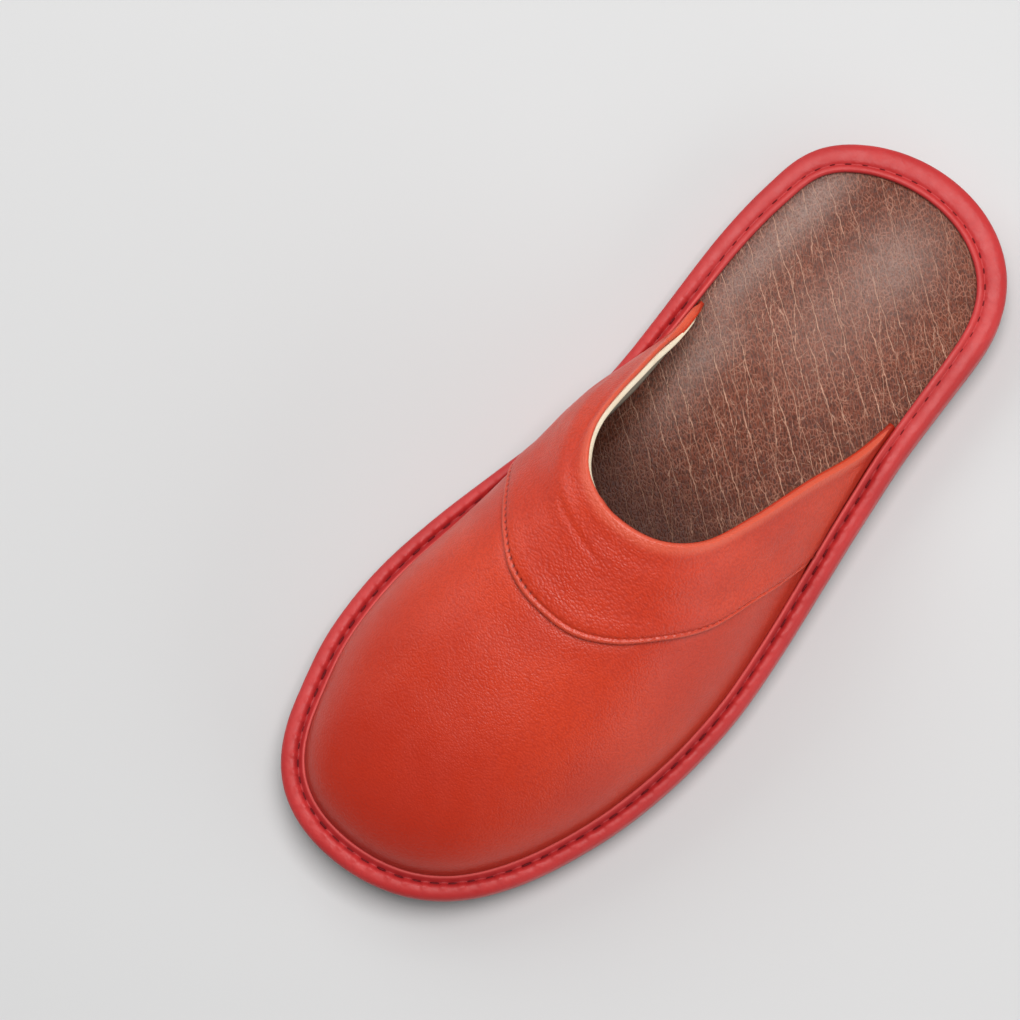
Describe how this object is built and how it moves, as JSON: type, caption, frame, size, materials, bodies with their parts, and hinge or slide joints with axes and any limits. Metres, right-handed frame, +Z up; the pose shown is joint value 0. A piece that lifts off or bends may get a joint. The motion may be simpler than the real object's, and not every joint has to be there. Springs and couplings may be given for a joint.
{
  "type": "babouche slipper",
  "caption": "Left leather slipper with an open back, a round toe, a high rounded vamp under an instep band, a low wedge sole and a stitched leather rand round its edge.",
  "frame": {"origin": "on the floor under the middle of the sole's length and width", "axes": "+Y from heel to toe, +X to the inner side of the left foot, +Z up"},
  "size_m": [0.1076, 0.272, 0.0649],
  "materials": {
    "sole": "matt dark brown microporous rubber",
    "footbed": "brown leather with a fine pale crackle",
    "rand_leather": "smooth pinkish red leather, satin",
    "upper_leather": "orange-red leather with a fine pebbled grain, satin",
    "band_leather": "orange-red leather with a fine pebbled grain, satin"
  },
  "bodies": {
    "root": {"outsole": "sole", "insole": "footbed", "rand": "rand_leather", "upper": "upper_leather", "instep_band": "band_leather"}
  },
  "joints": []
}
